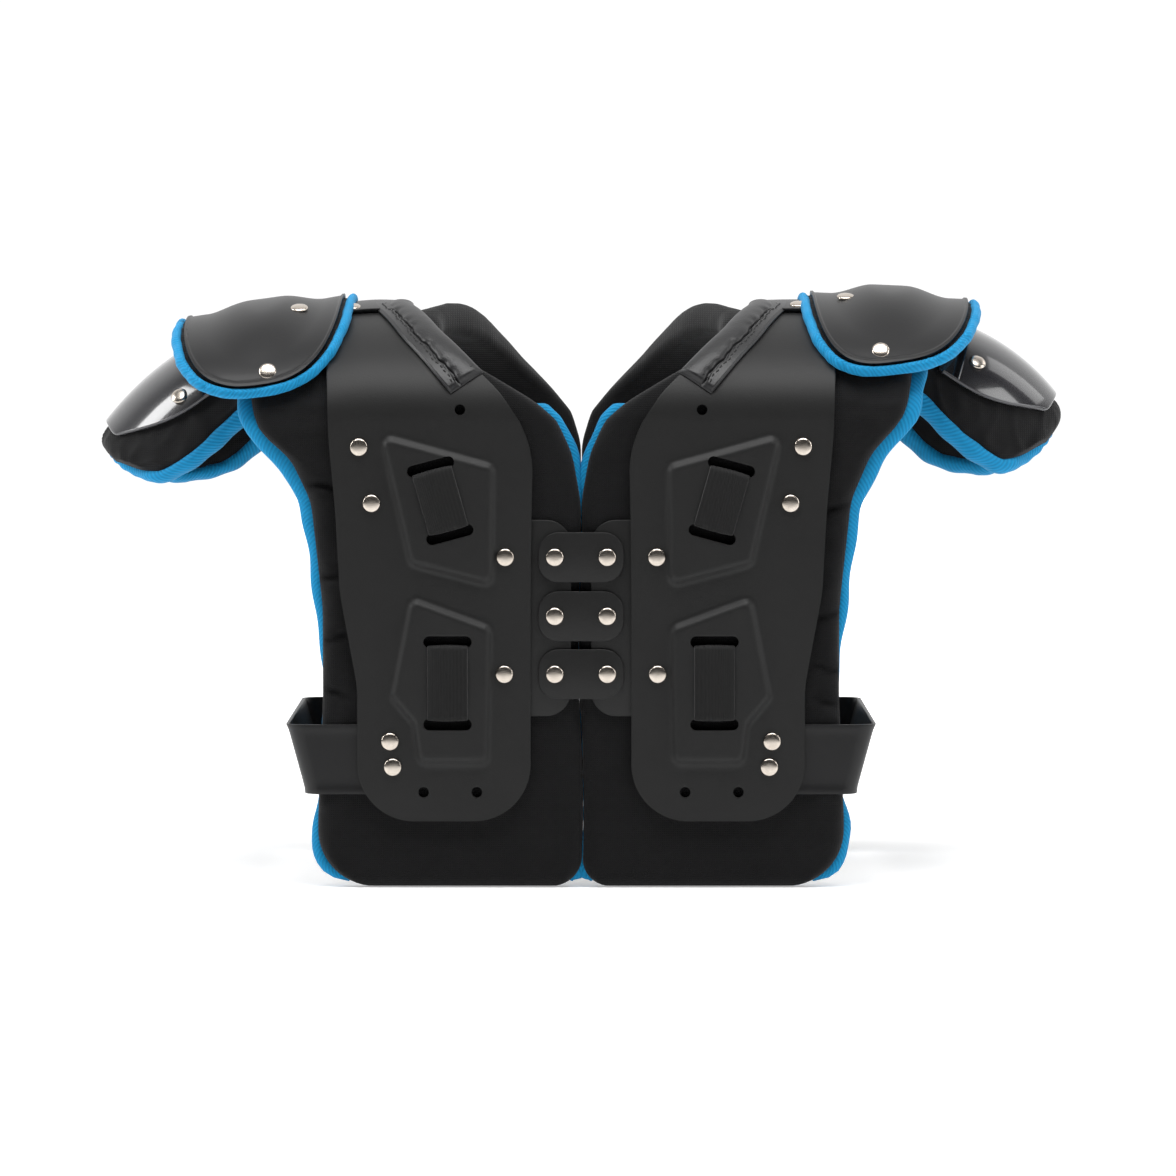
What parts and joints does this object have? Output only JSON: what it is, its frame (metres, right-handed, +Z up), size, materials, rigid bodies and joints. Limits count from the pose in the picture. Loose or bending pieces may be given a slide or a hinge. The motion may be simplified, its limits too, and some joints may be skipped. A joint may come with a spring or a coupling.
{
  "type": "football shoulder pads",
  "caption": "Padded football shoulder guard: two arched halves with slotted chest plates, riveted links, epaulet flaps, arm cups and side straps.",
  "frame": {"origin": "middle of the base on the floor, between the two halves", "axes": "+X to the viewer's right along the width, -Y towards the side with the three links, +Z up"},
  "size_m": [0.5904, 0.2518, 0.3653],
  "materials": {
    "padding_fabric": "matte black woven nylon over foam with bright blue twill binding",
    "moulded_plate": "satin charcoal moulded polyethylene",
    "gloss_plastic": "glossy black moulded plastic",
    "binding_leather": "black coated leathercloth, stitched",
    "webbing": "black woven elastic webbing",
    "blue_binding": "bright blue twill tape",
    "nickel_rivet": "bright nickel-plated cap rivets"
  },
  "bodies": {
    "root": {"liner_right": "padding_fabric", "plate_right": "moulded_plate", "far_plate_right": "moulded_plate", "link_tab_right": "moulded_plate", "shoulder_band_right": "gloss_plastic", "neck_binding_right": "binding_leather", "epaulet_pad_right": "padding_fabric", "epaulet_flap_right": "moulded_plate", "arm_cup_pad_right": "padding_fabric", "arm_cup_right": "gloss_plastic", "cup_strap_right": "webbing", "side_strap_right": "gloss_plastic", "webbing_upper_right": "webbing", "webbing_lower_right": "webbing", "plate_rivet_right_1": "nickel_rivet", "plate_rivet_right_2": "nickel_rivet", "plate_rivet_right_3": "nickel_rivet", "plate_rivet_right_4": "nickel_rivet", "plate_rivet_right_5": "nickel_rivet", "plate_rivet_right_6": "nickel_rivet", "liner_left": "padding_fabric", "plate_left": "moulded_plate", "far_plate_left": "moulded_plate", "link_tab_left": "moulded_plate", "shoulder_band_left": "gloss_plastic", "neck_binding_left": "binding_leather", "epaulet_pad_left": "padding_fabric", "epaulet_flap_left": "moulded_plate", "arm_cup_pad_left": "padding_fabric", "arm_cup_left": "gloss_plastic", "cup_strap_left": "webbing", "side_strap_left": "gloss_plastic", "webbing_upper_left": "webbing", "webbing_lower_left": "webbing", "plate_rivet_left_1": "nickel_rivet", "plate_rivet_left_2": "nickel_rivet", "plate_rivet_left_3": "nickel_rivet", "plate_rivet_left_4": "nickel_rivet", "plate_rivet_left_5": "nickel_rivet", "plate_rivet_left_6": "nickel_rivet", "link_1": "moulded_plate", "link_rivet_right_1": "nickel_rivet", "link_rivet_left_1": "nickel_rivet", "link_2": "moulded_plate", "link_rivet_right_2": "nickel_rivet", "link_rivet_left_2": "nickel_rivet", "link_3": "moulded_plate", "link_rivet_right_3": "nickel_rivet", "link_rivet_left_3": "nickel_rivet", "far_join": "moulded_plate"}
  },
  "joints": []
}
